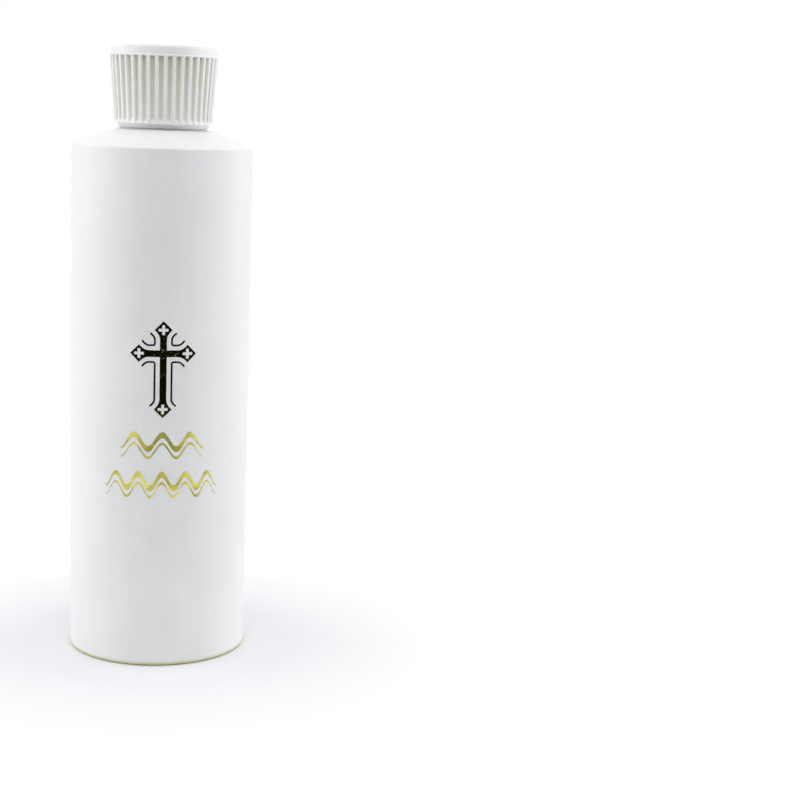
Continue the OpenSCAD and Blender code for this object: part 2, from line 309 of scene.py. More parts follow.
bottleFinish = {
    "pale": (0.90, 0.90, 0.89), "deep": (0.86, 0.86, 0.85),
    "cloudScale": 70, "cloudDetail": 3, "cloudShare": 0.7,
    "streakScale": 420, "streakShare": 0.3, "streakStretch": (1, 1, 0.04), "wavy": 0.00012,
    "grainScale": 2600, "grain": 0.000012, "roughLow": 0.38, "roughHigh": 0.48,
    # the foot tint is painted shade where the foot meets the floor
    "foot": (0.60, 0.57, 0.22), "footFrom": 1.5 * mm, "footTo": 0.4 * mm,
    "footShare": 0.9, "footFaint": 0.7,
    "dust": (0.42, 0.42, 0.41), "dustScale": 125, "dustSize": 0.022, "dustCore": 0.6, "dustShare": 0.8,
    "scuff": (0.80, 0.80, 0.79), "scuffScale": 90, "scuffStretch": (1, 1, 0.3), "scuffTurn": (0.5, 0.6, 0),
    "scuffWidth": 0.004, "scuffPatch": 60, "scuffFrom": 0.64, "scuffTo": 0.70, "scuffShare": 0.5,
    "scuffDetail": 1, "scuffRough": 0.2,
    "glow": 0.25, "glowSpread": (1.0, 0.9, 0.7), "glowDepth": 0.5 * mm, "ior": 1.5,
}


def makeBottlePlastic(look):
    material, tree, shader = newMaterial("bottlePlastic")
    point = objectPoint(tree)
    cloud = noise(tree, point, look["cloudScale"], look["cloudDetail"])
    streak = noise(tree, objectPoint(tree, look["streakStretch"]), look["streakScale"])
    grain = noise(tree, point, look["grainScale"])
    mixed = weighted(tree, cloud, look["cloudShare"], streak, look["streakShare"])
    plastic = colourRamp(tree, mixed, [(rampLow, look["deep"]), (rampHigh, look["pale"])])
    # painted warm shade along the foot where it meets the floor, broken into patches by noise
    low = remap(tree, pointAlong(tree, "Z"), look["footFrom"], look["footTo"], 0, look["footShare"])
    patchy = remap(tree, streak, noiseLow, noiseHigh, look["footFaint"], 1)
    plastic = mixColour(tree, mathNode(tree, "MULTIPLY", low, patchy), plastic, look["foot"])
    rubbing = objectPoint(tree, look["scuffStretch"], look["scuffTurn"])
    rub = noise(tree, rubbing, look["scuffScale"], look["scuffDetail"])
    patch = noise(tree, point, look["scuffPatch"], look["scuffDetail"])
    rare = remap(tree, patch, look["scuffFrom"], look["scuffTo"], 0, look["scuffShare"])
    scuff = mathNode(tree, "MULTIPLY", hairline(tree, rub, look["scuffWidth"]), rare)
    plastic = mixColour(tree, scuff, plastic, look["scuff"])
    speck = cellDistance(tree, point, look["dustScale"])
    core = look["dustSize"] * look["dustCore"]
    dust = remap(tree, speck, look["dustSize"], core, 0, look["dustShare"])
    tree.links.new(mixColour(tree, dust, plastic, look["dust"]), shader.inputs["Base Color"])
    rough = remap(tree, mixed, noiseLow, noiseHigh, look["roughLow"], look["roughHigh"])
    rubbed = mathNode(tree, "MULTIPLY", scuff, look["scuffRough"])
    tree.links.new(mathNode(tree, "ADD", rough, rubbed), shader.inputs["Roughness"])
    coarse = bump(tree, mixed, look["wavy"])
    tree.links.new(bump(tree, grain, look["grain"], coarse), shader.inputs["Normal"])
    setGlow(shader, look)
    return material


mouldedFinish = {
    "cloudScale": 160, "cloudDetail": 3, "grainScale": 4200, "grain": 0.000008,
    "glow": 0.2, "glowSpread": (1.0, 0.9, 0.7), "glowDepth": 0.4 * mm, "ior": 1.49,
}
capFinish = mouldedFinish | {
    "pale": (0.91, 0.91, 0.90), "deep": (0.87, 0.87, 0.86), "roughLow": 0.28, "roughHigh": 0.38,
    "low": capBox[0].z, "ledge": capBox[0].z + 1 * mm, "high": capBox[1].z - 3 * mm, "top": capBox[1].z,
    # the recess tint is painted shade in the grooves, slot and other recesses; the hem tint is painted
    # shade under the hem
    "lowRadius": 13.7 * mm, "highRadius": capBox[1].x, "warm": (0.75, 0.735, 0.60), "warmFrom": 0.15 * mm,
    "warmTo": 1.3 * mm, "shade": (0.40, 0.36, 0.27), "shadeShare": 0.5,
}
spoutFinish = mouldedFinish | {
    "pale": (0.89, 0.885, 0.87), "deep": (0.86, 0.855, 0.84), "roughLow": 0.22, "roughHigh": 0.32,
}


def paintRecessShade(tree, plastic, look):  # painted warm shade, stronger with depth below the ribs' crests or the flat top, and painted shade under the hem
    high = pointAlong(tree, "Z")
    crest = remap(tree, high, look["low"], look["high"], look["lowRadius"], look["highRadius"])
    inward = mathNode(tree, "SUBTRACT", crest, vectorLength(tree, objectPoint(tree, (1, 1, 0))))
    down = mathNode(tree, "SUBTRACT", look["top"], high)
    up = mathNode(tree, "SUBTRACT", high, look["ledge"])  # keeps the painted recess shade off the plain skirt below the ribs
    depth = mathNode(tree, "MINIMUM", mathNode(tree, "MINIMUM", inward, down), up)
    recessShadeMask = remap(tree, depth, look["warmFrom"], look["warmTo"], 0, 1)
    plastic = mixColour(tree, recessShadeMask, plastic, look["warm"])
    hemShadeMask = remap(tree, high, look["ledge"], look["low"], 0, look["shadeShare"])  # painted shade under the hem, darker towards its lower edge
    return mixColour(tree, hemShadeMask, plastic, look["shade"])


def makeMouldedPlastic(name, look):
    material, tree, shader = newMaterial(name)
    point = objectPoint(tree)
    cloud = noise(tree, point, look["cloudScale"], look["cloudDetail"])
    grain = noise(tree, point, look["grainScale"])
    plastic = colourRamp(tree, cloud, [(rampLow, look["deep"]), (rampHigh, look["pale"])])
    if "warm" in look:
        # painted shade in the cap's recesses and under its hem
        plastic = paintRecessShade(tree, plastic, look)
    tree.links.new(plastic, shader.inputs["Base Color"])
    rough = remap(tree, cloud, noiseLow, noiseHigh, look["roughLow"], look["roughHigh"])
    tree.links.new(rough, shader.inputs["Roughness"])
    tree.links.new(bump(tree, grain, look["grain"]), shader.inputs["Normal"])
    setGlow(shader, look)
    return material


foilFinish = {
    "bright": (0.73, 0.67, 0.16), "dull": (0.40, 0.36, 0.07), "bare": (0.86, 0.86, 0.85),
    "poolScale": 260, "poolDetail": 3, "peelScale": 420, "peel": 0.000014,
    "pinScale": 2300, "pinShare": 0.7, "patchScale": 130, "patchShare": 0.3,
    "wornFrom": 0.66, "wornTo": 0.69, "wornRough": 0.3, "hazeDull": 0.055, "hazeBright": 0.03,
    "scratchScale": 300, "scratchDetail": 1, "scratchStretch": (1, 1, 0.12),
    "scratchTurn": (0, math.radians(55), 0), "scratchWidth": 0.006, "scratchRough": 0.18,
}


def makeGoldFoil(look):
    material, tree, shader = newMaterial("goldFoil")
    point = objectPoint(tree)
    pool = noise(tree, point, look["poolScale"], look["poolDetail"])
    peel = noise(tree, point, look["peelScale"])
    pins = noise(tree, point, look["pinScale"])
    patch = noise(tree, point, look["patchScale"])
    spots = weighted(tree, pins, look["pinShare"], patch, look["patchShare"])
    worn = remap(tree, spots, look["wornFrom"], look["wornTo"], 0, 1)  # pinholes down to the plastic
    dragged = objectPoint(tree, look["scratchStretch"], look["scratchTurn"])
    drag = noise(tree, dragged, look["scratchScale"], look["scratchDetail"])
    scratch = hairline(tree, drag, look["scratchWidth"])
    gold = colourRamp(tree, pool, [(rampLow, look["dull"]), (rampHigh, look["bright"])])
    tree.links.new(mixColour(tree, worn, gold, look["bare"]), shader.inputs["Base Color"])
    tree.links.new(mathNode(tree, "SUBTRACT", 1, worn), shader.inputs["Metallic"])
    haze = remap(tree, pool, noiseLow, noiseHigh, look["hazeDull"], look["hazeBright"])
    wear = weighted(tree, scratch, look["scratchRough"], worn, look["wornRough"])
    tree.links.new(mathNode(tree, "ADD", haze, wear), shader.inputs["Roughness"])
    tree.links.new(bump(tree, peel, look["peel"]), shader.inputs["Normal"])
    return material


foamFinish = {
    "pale": (0.84, 0.83, 0.80), "deep": (0.66, 0.65, 0.62), "deepAt": 0.1, "paleAt": 0.6,
    "cellScale": 3000, "cell": 0.00005, "roughLow": 0.75, "roughHigh": 0.9,
}


def makeWasherFoam(look):
    material, tree, shader = newMaterial("washerFoam")
    cells = cellDistance(tree, objectPoint(tree), look["cellScale"])
    foam = colourRamp(tree, cells, [(look["deepAt"], look["deep"]), (look["paleAt"], look["pale"])])
    tree.links.new(foam, shader.inputs["Base Color"])
    rough = remap(tree, cells, 0, 1, look["roughLow"], look["roughHigh"])
    tree.links.new(rough, shader.inputs["Roughness"])
    tree.links.new(bump(tree, cells, look["cell"]), shader.inputs["Normal"])
    return material


bottlePlastic = makeBottlePlastic(bottleFinish)
capPlastic = makeMouldedPlastic("capPlastic", capFinish)
spoutPlastic = makeMouldedPlastic("spoutPlastic", spoutFinish)
goldFoil = makeGoldFoil(foilFinish)
washerFoam = makeWasherFoam(foamFinish)
print("finishes made")


bottle = {
    "radius": cadBox[1].x, "wall": 1 * mm, "slope": math.radians(19),
    "heel": 1.2 * mm, "shoulderRounding": 0.7 * mm,
    "hollowHeight": 2 * mm, "hollowRadius": 19 * mm, "hollowRounding": 1.5 * mm,
    "footInner": 21.5 * mm, "footRounding": 0.7 * mm, "floor": 1.2 * mm, "floorRounding": 1.2 * mm,
    "neckHeight": 150.17 * mm, "neckRadius": 10.75 * mm, "neckRounding": 0.3 * mm,
    "collarRadius": 12 * mm, "collarTop": 150.97 * mm, "collarSlope": 0.25 * mm,
    "collarRounding": 0.25 * mm, "lip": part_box("bottle_body")[1].z, "lipRounding": 0.5 * mm,
    "mouth": 8.7 * mm, "mouthRounding": 0.4 * mm, "insideRounding": 0.8 * mm,
    "arcSegments": 8, "steps": 192, "seam": 0.05 * mm, "seamHalf": 0.14 * mm,
}
neckThread = {
    "innerRadius": 10.45 * mm, "outerRadius": 11.8 * mm, "halfInner": 1.15 * mm, "halfOuter": 0.45 * mm,
    "crestRadius": 11.8 * mm, "hideRadius": 10.65 * mm, "startHeight": 159.0075 * mm, "startAngle": 0,
    "pitch": 3.175 * mm, "turns": 1.5, "stepsPerTurn": 96, "fadeHeight": 0.42 * mm,
}


def bottleOutline():
    b = bottle
    r, collar, neck, tilt = b["radius"], b["collarRadius"], b["neckHeight"], math.tan(b["slope"])
    inner = r - b["wall"]
    innerNeck = neck - b["wall"] / math.cos(b["slope"])
    hollow, hollowTop = b["hollowHeight"], b["hollowHeight"] + b["floor"]
    return [
        (0, hollow, 0),
        (b["hollowRadius"], hollow, b["hollowRounding"]),
        (b["footInner"], 0, b["footRounding"]),
        (r, 0, b["heel"]),
        (r, neck - (r - collar) * tilt, b["shoulderRounding"]),
        (collar, neck, b["neckRounding"]),
        (collar, b["collarTop"], b["collarRounding"]),
        (b["neckRadius"], b["collarTop"] + b["collarSlope"], b["neckRounding"]),
        (b["neckRadius"], b["lip"], b["lipRounding"]),
        (b["mouth"], b["lip"], b["mouthRounding"]),
        (b["mouth"], innerNeck + (collar - b["mouth"]) * tilt, b["insideRounding"]),
        (inner, innerNeck - (inner - collar) * tilt, b["insideRounding"]),
        (inner, b["floor"], b["floorRounding"]),
        (b["footInner"], b["floor"], b["footRounding"]),
        (b["hollowRadius"], hollowTop, b["hollowRounding"]),
        (0, hollowTop, 0),
    ]


def makeBottle():
    b = bottle
    bm = bmesh.new()
    wire(bm, bottleOutline(), b["arcSegments"])
    spinAround(bm, bm.verts[:] + bm.edges[:], fullTurn, b["steps"], merge=True)
    closeUp(bm)
    # the mould's parting line runs over the wall, shoulder and base
    for side in (-b["seamHalf"], b["seamHalf"]):
        cutAcross(bm, (0, side, 0), (0, 1, 0), planeGap)
    bm.normal_update()
    for vert in bm.verts:
        underneath = vert.normal.z < downward and vert.co.z < b["hollowHeight"] + nearGap
        outside = vert.normal.x * vert.co.x > 0 or underneath
        if abs(vert.co.y) < planeGap and outside and vert.co.z < b["neckHeight"]:
            vert.co += vert.normal * b["seam"]
            vert.co.z = max(0, vert.co.z)
    addThread(bm, neckThread)
    addPiece("bottleShell", bm, bottlePlastic, "bottle", "bottle_body")


makeBottle()


cap = {
    "low": capBox[0].z, "top": capBox[1].z, "lowRadius": 13.75 * mm, "topRadius": capBox[1].x,
    "skirtRadius": 12.75 * mm, "skirtHeight": 1.05 * mm, "skirtRounding": 0.12 * mm, "hem": 0.5 * mm,
    "ledgeInner": 0.15 * mm, "ledgeOuter": 0.2 * mm, "rimHeight": 3.1 * mm, "rimLead": 0.3 * mm,
    "rimStep": 0.25 * mm, "rimRounding": 0.9 * mm, "leadRounding": 0.15 * mm, "stepRounding": 0.1 * mm,
    "cavity": 12.25 * mm, "cavityRounding": 0.2 * mm, "ceiling": 166.77 * mm, "ceilingRounding": 0.5 * mm,
    "bossRadius": 5.3 * mm, "bossLow": 164.97 * mm, "bossRounding": 0.3 * mm,
    "ringInset": 2.9 * mm, "ringHalf": 0.5 * mm, "ringFloor": 0.25 * mm, "ringDepth": 0.8 * mm,
    "ringRounding": 0.2 * mm, "arcSegments": 5,
    "grooves": 36, "grooveDepth": 0.5 * mm, "grooveDepthTop": 1.2 * mm, "grooveWall": 0.16 * mm,
    "grooveColumns": 3, "ribColumns": 2, "runOut": 0.75 * mm, "runOutBelow": 0.1,
    "crestFall": 0.1 * mm, "crestRounding": 0.19 * mm, "crestSegments": 3,
    "floorRounding": 0.12 * mm, "floorSegments": 2,
    "plainStrip": math.radians(35.40), "stripSteps": 14,
    "slotWidth": 7.1 * mm, "slotFloor": 168.47 * mm, "slotBack": 3.45 * mm, "slotReach": 3 * mm,
    "slotFlare": 0.25 * mm, "flareSteps": 5, "overlap": 1 * mm, "seatRadius": 3.3 * mm, "seatSides": 96,
    "pivotHole": 1.36 * mm, "pivotSpan": 9.7 * mm, "dripRadius": 1.4 * mm, "holeSides": 48,
    "scoopRadius": 4 * mm, "scoopDepth": 2.3 * mm, "scoopSides": 64,
}
capThread = {
    "innerRadius": 11.15 * mm, "outerRadius": 12.55 * mm, "halfInner": 0.3 * mm, "halfOuter": 0.9 * mm,
    "crestRadius": 11.15 * mm, "hideRadius": 12.35 * mm, "startHeight": 158.7283 * mm, "startAngle": 120,
    "pitch": 3.175 * mm, "turns": 7 / 6, "stepsPerTurn": 96, "fadeHeight": 0.42 * mm,
}


def capOutline(ledge, ribLow, ribTop):
    c = cap
    rimLow, rimRadius = ribTop + c["rimLead"], c["topRadius"] - c["rimStep"]
    taper = (c["topRadius"] - c["lowRadius"]) / (rimLow - ledge)
    ring, ringLow = c["topRadius"] - c["ringInset"], c["top"] - c["ringDepth"]
    return [
        (0, c["bossLow"], 0),
        (c["bossRadius"], c["bossLow"], c["bossRounding"]),
        (c["bossRadius"], c["ceiling"], c["bossRounding"]),
        (c["cavity"], c["ceiling"], c["ceilingRounding"]),
        (c["cavity"], c["low"], c["cavityRounding"]),
        (c["skirtRadius"], c["low"], c["skirtRounding"]),
        (c["skirtRadius"], ledge, c["ledgeInner"]),
        (c["lowRadius"], ledge, c["ledgeOuter"]),
        (c["lowRadius"] + (ribLow - ledge) * taper, ribLow, 0),
        (c["lowRadius"] + (ribTop - ledge) * taper, ribTop, 0),
        (c["topRadius"], rimLow, c["leadRounding"]),
        (rimRadius, rimLow + c["rimStep"], c["stepRounding"]),
        (rimRadius, c["top"], c["rimRounding"]),
        (ring + c["ringHalf"], c["top"], c["ringRounding"]),
        (ring + c["ringFloor"], ringLow, c["ringRounding"]),
        (ring - c["ringFloor"], ringLow, c["ringRounding"]),
        (ring - c["ringHalf"], c["top"], c["ringRounding"]),
        (0, c["top"], 0),
    ]


def ribbedCap():
    c = cap
    ledge = c["low"] + c["skirtHeight"]
    ribLow, ribTop = ledge + c["hem"], c["top"] - c["rimHeight"]
    columns = c["grooveColumns"] + c["ribColumns"]
    pitch = (fullTurn - c["plainStrip"]) / (c["grooves"] - 1)
    grooveAngle = pitch * c["grooveColumns"] / columns
    start = math.pi / 2 + c["plainStrip"] / 2 - grooveAngle / 2
    ribbed = pitch * (c["grooves"] - 1) + grooveAngle
    bm = bmesh.new()
    wire(bm, capOutline(ledge, ribLow, ribTop), c["arcSegments"])
    bmesh.ops.rotate(bm, verts=bm.verts[:], cent=(0, 0, 0), matrix=Matrix.Rotation(start, 3, "Z"))
    steps = columns * (c["grooves"] - 1) + c["grooveColumns"]
    last = spinAround(bm, bm.verts[:] + bm.edges[:], ribbed, steps)
    spinAround(bm, last, fullTurn - ribbed, c["stripSteps"])
    closeUp(bm)
    grooves = {}
    for face in bm.faces:
        centre = face.calc_center_median()
        if ribLow < centre.z < ribTop and centre.xy.length > c["lowRadius"] - nearGap:
            angle = (math.atan2(centre.y, centre.x) - start) % fullTurn
            column = int(angle / pitch * columns)
            if angle < ribbed and column % columns < c["grooveColumns"]:
                grooves.setdefault(column // columns, []).append(face)
    crestEdges, floorEdges = [], []
    for faces in grooves.values():
        walls = bmesh.ops.inset_region(bm, faces=faces, thickness=c["grooveWall"], depth=-c["grooveDepth"],
                                       use_even_offset=True, use_boundary=True)["faces"]
        for edge in dict.fromkeys(edge for wall in walls for edge in wall.edges):
            if any(face in faces for face in edge.link_faces):
                floorEdges.append(edge)
            elif not all(face in walls for face in edge.link_faces):
                crestEdges.append(edge)
        # grooves are deeper upwards and run out at the hem
        for vert in dict.fromkeys(vert for face in faces for vert in face.verts):
            rise = (vert.co.z - ribLow) / (ribTop - ribLow)
            deeper = max(0, rise) * (c["grooveDepthTop"] - c["grooveDepth"])
            vert.co.xy *= 1 - deeper / vert.co.xy.length
            if rise < c["runOutBelow"]:
                vert.co.z += c["runOut"]
    for vert in dict.fromkeys(vert for edge in crestEdges for vert in edge.verts):
        vert.co.xy *= 1 - c["crestFall"] / vert.co.xy.length
    roundEdges(bm, crestEdges, c["crestRounding"], c["crestSegments"])
    floorEdges = [edge for edge in floorEdges if edge.is_valid]
    roundEdges(bm, floorEdges, c["floorRounding"], c["floorSegments"])
    bmesh.ops.recalc_face_normals(bm, faces=bm.faces[:])
    return bm


def raised(bm, face):
    grown = bmesh.ops.extrude_face_region(bm, geom=[face])["geom"]
    bm.faces.remove(face)
    return [item for item in grown if isinstance(item, bmesh.types.BMFace)][0]


def flaredSlot():  # the open part of the slot, whose upper edges round out into the cap's top
    c = cap
    half, flare, reach = c["slotWidth"] / 2, c["slotFlare"], c["topRadius"] + c["slotReach"]
    bm = block((-half, -c["slotBack"], hingeHeight), (half, reach, c["top"] - flare))
    top = max(bm.faces, key=lambda face: face.calc_center_median().z)
    for i in range(1, c["flareSteps"] + 1):
        angle = math.pi / 2 * i / c["flareSteps"]
        out = flare * (1 - math.cos(angle))
        top = raised(bm, top)
        for vert in top.verts:
            vert.co.x = math.copysign(half + out, vert.co.x)
            vert.co.y = -c["slotBack"] - out if vert.co.y < 0 else reach
            vert.co.z = c["top"] - flare + flare * math.sin(angle)
    top = raised(bm, top)
    bmesh.ops.translate(bm, verts=top.verts[:], vec=(0, 0, c["overlap"]))
    bmesh.ops.recalc_face_normals(bm, faces=bm.faces[:])
    return bm


def fingerScoop():
    c = cap
    bm = bmesh.new()
    place = (0, c["topRadius"] + c["scoopRadius"] - c["scoopDepth"], c["slotFloor"])
    bmesh.ops.create_uvsphere(bm, u_segments=c["scoopSides"], v_segments=c["scoopSides"] // 2,
                              radius=c["scoopRadius"], matrix=Matrix.Translation(place))
    return bm


def makeCap():
    c = cap
    half, reach = c["slotWidth"] / 2, c["topRadius"] + c["slotReach"]
    hinge = (0, 0, hingeHeight)
    drip = hingeHeight - c["bossLow"] + c["overlap"]
    dripPlace = (0, 0, hingeHeight - drip / 2)
    bm = carved(ribbedCap(), [
        ("DIFFERENCE", flaredSlot()),
        ("DIFFERENCE", block((-half, 0, c["slotFloor"]), (half, reach, hingeHeight + c["overlap"]))),
        ("DIFFERENCE", rod(c["seatRadius"], c["slotWidth"], hinge, (1, 0, 0), c["seatSides"])),
        ("DIFFERENCE", rod(c["pivotHole"], c["pivotSpan"], hinge, (1, 0, 0), c["holeSides"])),
        ("DIFFERENCE", rod(c["dripRadius"], drip, dripPlace, (0, 0, 1), c["holeSides"])),
        ("DIFFERENCE", fingerScoop()),
    ])
    addThread(bm, capThread)
    addPiece("ribbedCap", bm, capPlastic, "cap", "cap_shell")


makeCap()


spout = {
    "width": 6.8 * mm, "tipWidth": 6.3 * mm, "thickness": 4.3 * mm, "length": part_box("flip_spout")[1].y,
    "edge": 0.45 * mm, "edgeSegments": 5, "endSegments": 3,
    "rootRadius": 3.2 * mm, "rootEdge": 0.15 * mm, "rootSides": 96,
    "pivotRadius": 1.3 * mm, "pivotSpan": 9.5 * mm, "pivotEdge": 0.2 * mm, "pivotSides": 48,
    "outlet": 1.4 * mm, "outletSides": 64,
}


def makeSpout():
    s = spout
    half, thick = s["width"] / 2, s["thickness"] / 2
    hinge = Vector((0, 0, hingeHeight))
    bar = block((-half, 0, hingeHeight - thick), (half, s["length"], hingeHeight + thick))
    for vert in bar.verts:
        if vert.co.y > 0:
            vert.co.x = math.copysign(s["tipWidth"] / 2, vert.co.x)
    outer = [edge for edge in bar.edges if any(vert.co.y > 0 for vert in edge.verts)]
    roundEdges(bar, outer, s["edge"], s["edgeSegments"])
    root = rod(s["rootRadius"], s["width"], hinge, (1, 0, 0), s["rootSides"])
    cutAcross(root, hinge + Vector((0, 0, thick)), (0, 0, 1), planeGap, clear=True)
    bmesh.ops.holes_fill(root, edges=[edge for edge in root.edges if edge.is_boundary])
    roundEdges(root, squareEdges(root), s["rootEdge"], s["endSegments"])
    pivots = rod(s["pivotRadius"], s["pivotSpan"], hinge, (1, 0, 0), s["pivotSides"])
    roundEdges(pivots, squareEdges(pivots), s["pivotEdge"], s["endSegments"])
    reach = s["length"] + 2 * s["rootRadius"]
    passage = rod(s["outlet"], reach, hinge + Vector((0, s["length"] / 2, 0)), (0, 1, 0), s["outletSides"])
    bm = carved(bar, [("UNION", root), ("UNION", pivots), ("DIFFERENCE", passage)])
    bmesh.ops.dissolve_degenerate(bm, dist=sliver, edges=bm.edges[:])
    bmesh.ops.delete(bm, geom=[vert for vert in bm.verts if not vert.link_faces], context="VERTS")
    addPiece("flipSpout", bm, spoutPlastic, "spout", "flip_spout")


makeSpout()


foil = {
    "radius": bottle["radius"], "proud": 0.04 * mm, "strip": 0.45 * mm, "curvePoints": 9,
    "crossHeight": 89.65 * mm, "up": 9 * mm, "down": 18 * mm, "side": 9.15 * mm, "stem": 0.925 * mm,
    "lozenge": 2.45 * mm, "flare": 2.8 * mm, "flarePull": 0.45,
    "pierceArm": 0.98 * mm, "pierceHalf": 0.4 * mm, "pierceLobe": 0.45 * mm, "lobeSteps": 12,
    "lineWidth": 0.5 * mm, "lineGap": 1.4 * mm, "lineBend": 0.6 * mm, "lineTail": 0.3 * mm,
    "waveHeight": 2 * mm, "waveDrop": 2.5 * mm, "waveEnd": 0.2, "waveSteps": 40,
    "boldWave": 1.7 * mm, "fineWave": 0.75 * mm,
    "upperHeight": 63.6 * mm, "upperWidth": 23.6 * mm, "upperWaves": 3,
    "lowerHeight": 52.4 * mm, "lowerWidth": 33 * mm, "lowerWaves": 5,
}


def softCurve(start, pull, end):
    start, pull, end = Vector(start), Vector(pull), Vector(end)
    handles = start, start.lerp(pull, 2 / 3), end.lerp(pull, 2 / 3), end
    curve = interpolate_bezier(*[handle.to_3d() for handle in handles], foil["curvePoints"])
    return [point.xy for point in curve]


def turnedAll(points, quarter):
    turn = Matrix.Rotation(quarter * math.pi / 2, 2)
    return [turn @ Vector(p) for p in points]


def flip(points, across=-1, along=1):
    return [Vector((p[0] * across, p[1] * along)) for p in points]


def heading(path, i):
    return (path[min(i + 1, len(path) - 1)] - path[max(i - 1, 0)]).normalized()


def armSide(length):
    f = foil
    wide = length - f["lozenge"]
    return softCurve((f["stem"], wide - f["flare"]), (f["stem"], wide - f["flare"] * f["flarePull"]),
                     (f["lozenge"], wide))


def crossOutline():
    f = foil
    points = []
    for quarter, length in enumerate((f["up"], f["side"], f["down"], f["side"])):
        side = armSide(length)
        arm = [Vector((f["stem"], f["stem"])), *side, Vector((0, length)), *reversed(flip(side))]
        points += turnedAll(arm, quarter)
    return points


def pierceOutline(centre):
    f = foil
    lobe = f["pierceLobe"]
    lean = math.asin(f["pierceHalf"] / lobe)
    arm = [Vector((f["pierceHalf"], f["pierceHalf"]))]
    for i in range(f["lobeSteps"] + 1):
        angle = lean + (fullTurn - 2 * lean) * i / f["lobeSteps"]
        arm.append(Vector((lobe * math.sin(angle), f["pierceArm"] - lobe * math.cos(angle))))
    return [p + centre for quarter in range(4) for p in turnedAll(arm, quarter)]


def lineSides(path, width):
    left, right = [], []
    for i, point in enumerate(path):
        along = heading(path, i)
        across = Vector((-along.y, along.x)) * width / 2
        left.append(point + across)
        right.append(point - across)
    return left + right[::-1]


def cornerLine(up, side):
    f = foil
    lines = []
    for length in (up, side):
        edge = armSide(length)
        line = []
        for i, point in enumerate(edge):
            along = heading(edge, i)
            line.append(point + Vector((along.y, -along.x)) * f["lineGap"])
        line.append(line[-1] + (line[-1] - line[-2]).normalized() * f["lineTail"])
        lines.append(line)
    near = f["stem"] + f["lineGap"]
    bend = softCurve((near, near + f["lineBend"]), (near, near), (near + f["lineBend"], near))
    return lines[0][::-1] + bend + [Vector((p.y, p.x)) for p in lines[1]]


def waveOutline(width, waves, stroke, rise):
    f = foil
    upper, lower = [], []
    count = waves * f["waveSteps"]
    for i in range(count + 1):
        s = width * (i / count - 0.5)
        end = min(1, 4 * (0.5 - abs(s) / width))  # the stroke thins over each outer quarter
        half = stroke / 2 * (f["waveEnd"] + (1 - f["waveEnd"]) * math.sin(math.pi / 2 * end))
        middle = f["waveHeight"] * math.cos(fullTurn * waves * s / width) + rise
        upper.append(Vector((s, middle + half)))
        lower.append(Vector((s, middle - half)))
    return upper + lower[::-1]


def makeFoil(name, node, middle, outlines):  # filled flat, then wrapped round the wall
    f = foil
    bm = bmesh.new()
    for outline in outlines:
        verts = [bm.verts.new((p[0], 0, p[1] + middle)) for p in outline]
        for pair in zip(verts, verts[1:] + verts[:1]):
            bm.edges.new(pair)
    bmesh.ops.remove_doubles(bm, verts=bm.verts[:], dist=sliver)
    bmesh.ops.triangle_fill(bm, use_beauty=True, edges=bm.edges[:])
    strips = int(max(abs(vert.co.x) for vert in bm.verts) / f["strip"])
    for i in range(-strips, strips + 1):
        cutAcross(bm, (i * f["strip"], 0, 0), (1, 0, 0), mergeGap)
    for face in bm.faces:
        if face.normal.y > 0:
            face.normal_flip()
    outer = bmesh.ops.extrude_face_region(bm, geom=bm.faces[:], use_keep_orig=True)["geom"]
    outer = {item for item in outer if isinstance(item, bmesh.types.BMVert)}
    for vert in bm.verts:
        radius = f["radius"] + (f["proud"] if vert in outer else 0)
        angle = vert.co.x / f["radius"]
        vert.co.x = radius * math.sin(angle)
        vert.co.y = -radius * math.cos(angle)
    bmesh.ops.recalc_face_normals(bm, faces=bm.faces[:])
    addPiece(name, bm, goldFoil, "bottle", node)


def makeCross():
    f = foil
    ends = [Vector((0, f["up"] - f["lozenge"])), Vector((f["lozenge"] - f["side"], 0)),
            Vector((0, f["lozenge"] - f["down"])), Vector((f["side"] - f["lozenge"], 0))]
    outlines = [crossOutline(), *[pierceOutline(end) for end in ends]]
    makeFoil("crossFoil", "foil_cross", f["crossHeight"], outlines)
    upper = cornerLine(f["up"], f["side"])
    lower = flip(cornerLine(f["down"], f["side"]), 1, -1)
    strokes = [lineSides(line, f["lineWidth"]) for path in (upper, lower) for line in (path, flip(path))]
    makeFoil("contourFoil", "foil_contour", f["crossHeight"], strokes)


def makeWaves(name, node, middle, width, waves):
    f = foil
    drop = f["waveDrop"] / 2
    makeFoil(name, node, middle, [waveOutline(width, waves, f["boldWave"], drop),
                                  waveOutline(width, waves, f["fineWave"], -drop)])


makeCross()
makeWaves("upperWaveFoil", "foil_wave_upper", foil["upperHeight"], foil["upperWidth"], foil["upperWaves"])
makeWaves("lowerWaveFoil", "foil_wave_lower", foil["lowerHeight"], foil["lowerWidth"], foil["lowerWaves"])

washer = frame["nodes"]["cap_liner"]
washer.data.materials.clear()
washer.data.materials.append(washerFoam)
print("washer finished")


